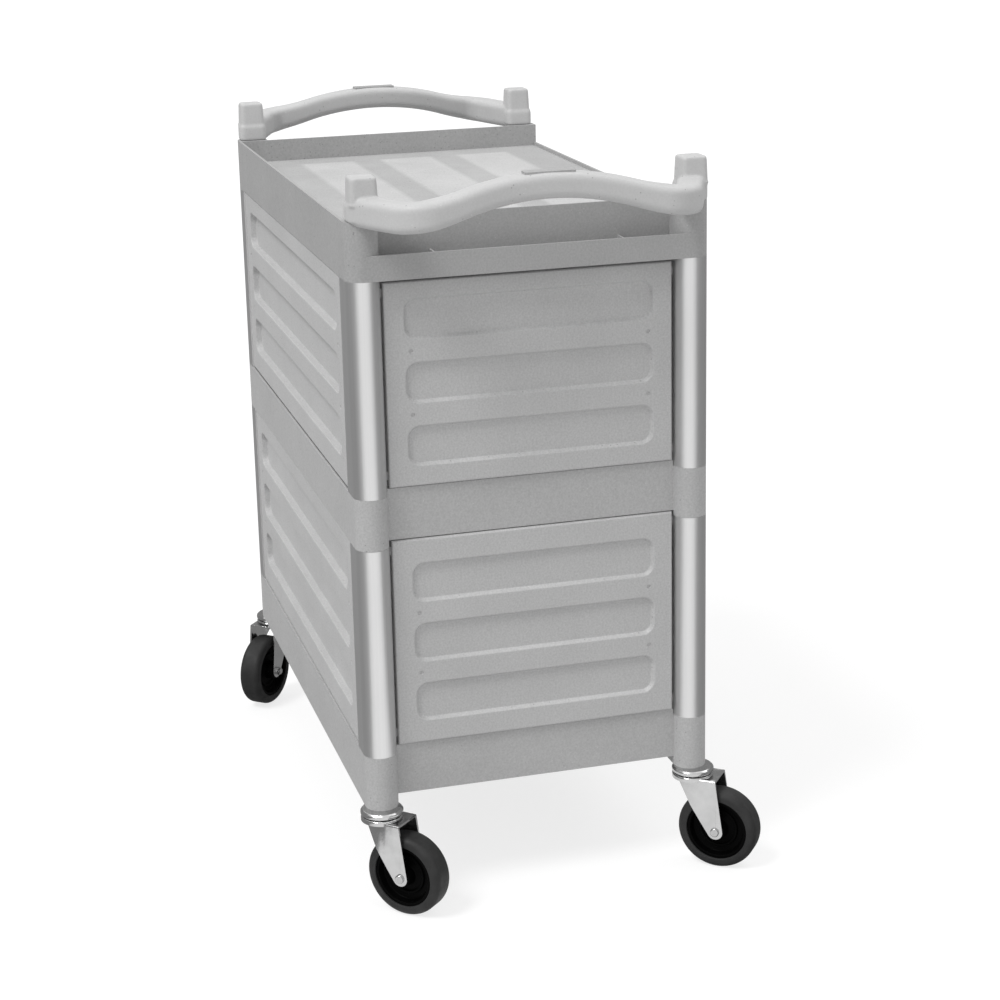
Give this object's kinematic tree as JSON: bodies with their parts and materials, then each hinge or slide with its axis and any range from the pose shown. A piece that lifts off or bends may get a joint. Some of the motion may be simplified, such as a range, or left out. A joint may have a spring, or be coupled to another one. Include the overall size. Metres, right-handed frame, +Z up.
{
  "type": "serving cart",
  "caption": "Three-tier serving cart with moulded trays, hollow corner posts, recessed panels, a bowed handle at each end and swivel casters.",
  "frame": {"origin": "on the floor under the middle of the cart's body", "axes": "+Z up, +X along the length towards the front handle, +Y towards the open long side"},
  "size_m": [0.9258, 0.533, 0.888],
  "materials": {
    "shelf_moulding": "light grey, fine textured, matt",
    "panel_moulding": "light grey, fine textured, matt",
    "handle_moulding": "light grey, fine textured, matt",
    "plate": "grey, blank, matt",
    "post_metal": "satin anodised extrusion",
    "caster_steel": "bright zinc plated pressing",
    "fasteners": "bright zinc plated",
    "bearing_balls": "polished",
    "bush": "turned",
    "hub": "near black moulding",
    "tyre": "dark grey soft rubber"
  },
  "bodies": {
    "root": {"top_shelf": "shelf_moulding", "middle_shelf": "shelf_moulding", "bottom_shelf": "shelf_moulding", "front_handle": "handle_moulding", "front_handle_plate": "plate", "upper_front_panel": "panel_moulding", "lower_front_panel": "panel_moulding", "rear_handle": "handle_moulding", "rear_handle_plate": "plate", "upper_rear_panel": "panel_moulding", "lower_rear_panel": "panel_moulding", "upper_side_panel": "panel_moulding", "upper_post_front_right": "post_metal", "upper_post_front_left": "post_metal", "upper_post_rear_right": "post_metal", "upper_post_rear_left": "post_metal", "lower_side_panel": "panel_moulding", "lower_post_front_right": "post_metal", "lower_post_front_left": "post_metal", "lower_post_rear_right": "post_metal", "lower_post_rear_left": "post_metal", "post_screws": "fasteners", "panel_screws": "fasteners", "handle_screws": "fasteners", "caster_stems": "caster_steel", "swivel_races": "caster_steel", "swivel_balls": "bearing_balls"},
    "caster_front_right": {"fork_front_right": "caster_steel", "axle_bolt_front_right": "fasteners", "axle_nut_front_right": "fasteners", "wheel_bush_front_right": "bush"},
    "wheel_front_right": {"wheel_hub_front_right": "hub", "tyre_front_right": "tyre"},
    "caster_front_left": {"fork_front_left": "caster_steel", "axle_bolt_front_left": "fasteners", "axle_nut_front_left": "fasteners", "wheel_bush_front_left": "bush"},
    "wheel_front_left": {"wheel_hub_front_left": "hub", "tyre_front_left": "tyre"},
    "caster_rear_right": {"fork_rear_right": "caster_steel", "axle_bolt_rear_right": "fasteners", "axle_nut_rear_right": "fasteners", "wheel_bush_rear_right": "bush"},
    "wheel_rear_right": {"wheel_hub_rear_right": "hub", "tyre_rear_right": "tyre"},
    "caster_rear_left": {"fork_rear_left": "caster_steel", "axle_bolt_rear_left": "fasteners", "axle_nut_rear_left": "fasteners", "wheel_bush_rear_left": "bush"},
    "wheel_rear_left": {"wheel_hub_rear_left": "hub", "tyre_rear_left": "tyre"}
  },
  "joints": [
    {"name": "swivel_front_right", "type": "hinge", "parent": "root", "child": "caster_front_right", "pos_m": [0.36, -0.197, 0.127], "axis": [0, 0, 1], "continuous": true},
    {"name": "roll_front_right", "type": "hinge", "parent": "caster_front_right", "child": "wheel_front_right", "pos_m": [0.38475, -0.17225, 0.05], "axis": [-0.7071, 0.7071, 0], "continuous": true},
    {"name": "swivel_front_left", "type": "hinge", "parent": "root", "child": "caster_front_left", "pos_m": [0.36, 0.197, 0.127], "axis": [0, 0, 1], "continuous": true},
    {"name": "roll_front_left", "type": "hinge", "parent": "caster_front_left", "child": "wheel_front_left", "pos_m": [0.38155, 0.22458, 0.05], "axis": [-0.788, 0.6157, 0], "continuous": true},
    {"name": "swivel_rear_right", "type": "hinge", "parent": "root", "child": "caster_rear_right", "pos_m": [-0.36, -0.197, 0.127], "axis": [0, 0, 1], "continuous": true},
    {"name": "roll_rear_right", "type": "hinge", "parent": "caster_rear_right", "child": "wheel_rear_right", "pos_m": [-0.33319, -0.2195, 0.05], "axis": [0.6428, 0.766, 0], "continuous": true},
    {"name": "swivel_rear_left", "type": "hinge", "parent": "root", "child": "caster_rear_left", "pos_m": [-0.36, 0.197, 0.127], "axis": [0, 0, 1], "continuous": true},
    {"name": "roll_rear_left", "type": "hinge", "parent": "caster_rear_left", "child": "wheel_rear_left", "pos_m": [-0.38475, 0.17225, 0.05], "axis": [0.7071, -0.7071, 0], "continuous": true}
  ]
}
